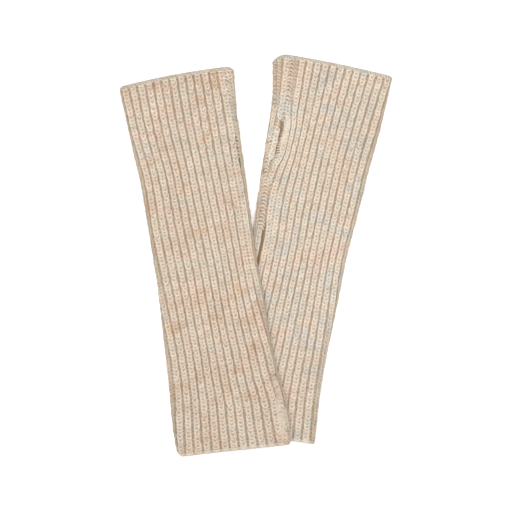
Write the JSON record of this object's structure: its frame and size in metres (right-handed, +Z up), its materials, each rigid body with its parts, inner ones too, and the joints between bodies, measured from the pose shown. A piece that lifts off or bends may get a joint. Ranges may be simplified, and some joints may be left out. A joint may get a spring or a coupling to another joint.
{
  "type": "pair of fingerless rib-knit gloves",
  "caption": "Long fingerless gloves in chunky rib knit, laid flat and overlapping in a narrow V, each a ribbed tube with a side seam left open as a thumb slit.",
  "frame": {"origin": "middle of the pair's box, on the surface that the gloves lie on", "axes": "+Z up from the surface, +Y towards the hand ends, +X towards the glove that lies beneath"},
  "size_m": [0.2248, 0.3324, 0.014],
  "materials": {
    "wool_rib": "matt",
    "wool_edge": "matt",
    "wool_seam": "matt"
  },
  "bodies": {
    "root": {"left_panel": "wool_rib", "left_hand_band": "wool_edge", "left_wrist_edge": "wool_edge", "left_seam_hand": "wool_seam", "left_seam_wrist": "wool_seam", "right_panel": "wool_rib", "right_hand_band": "wool_edge", "right_wrist_edge": "wool_edge", "right_seam_hand": "wool_seam", "right_seam_wrist": "wool_seam"}
  },
  "joints": []
}
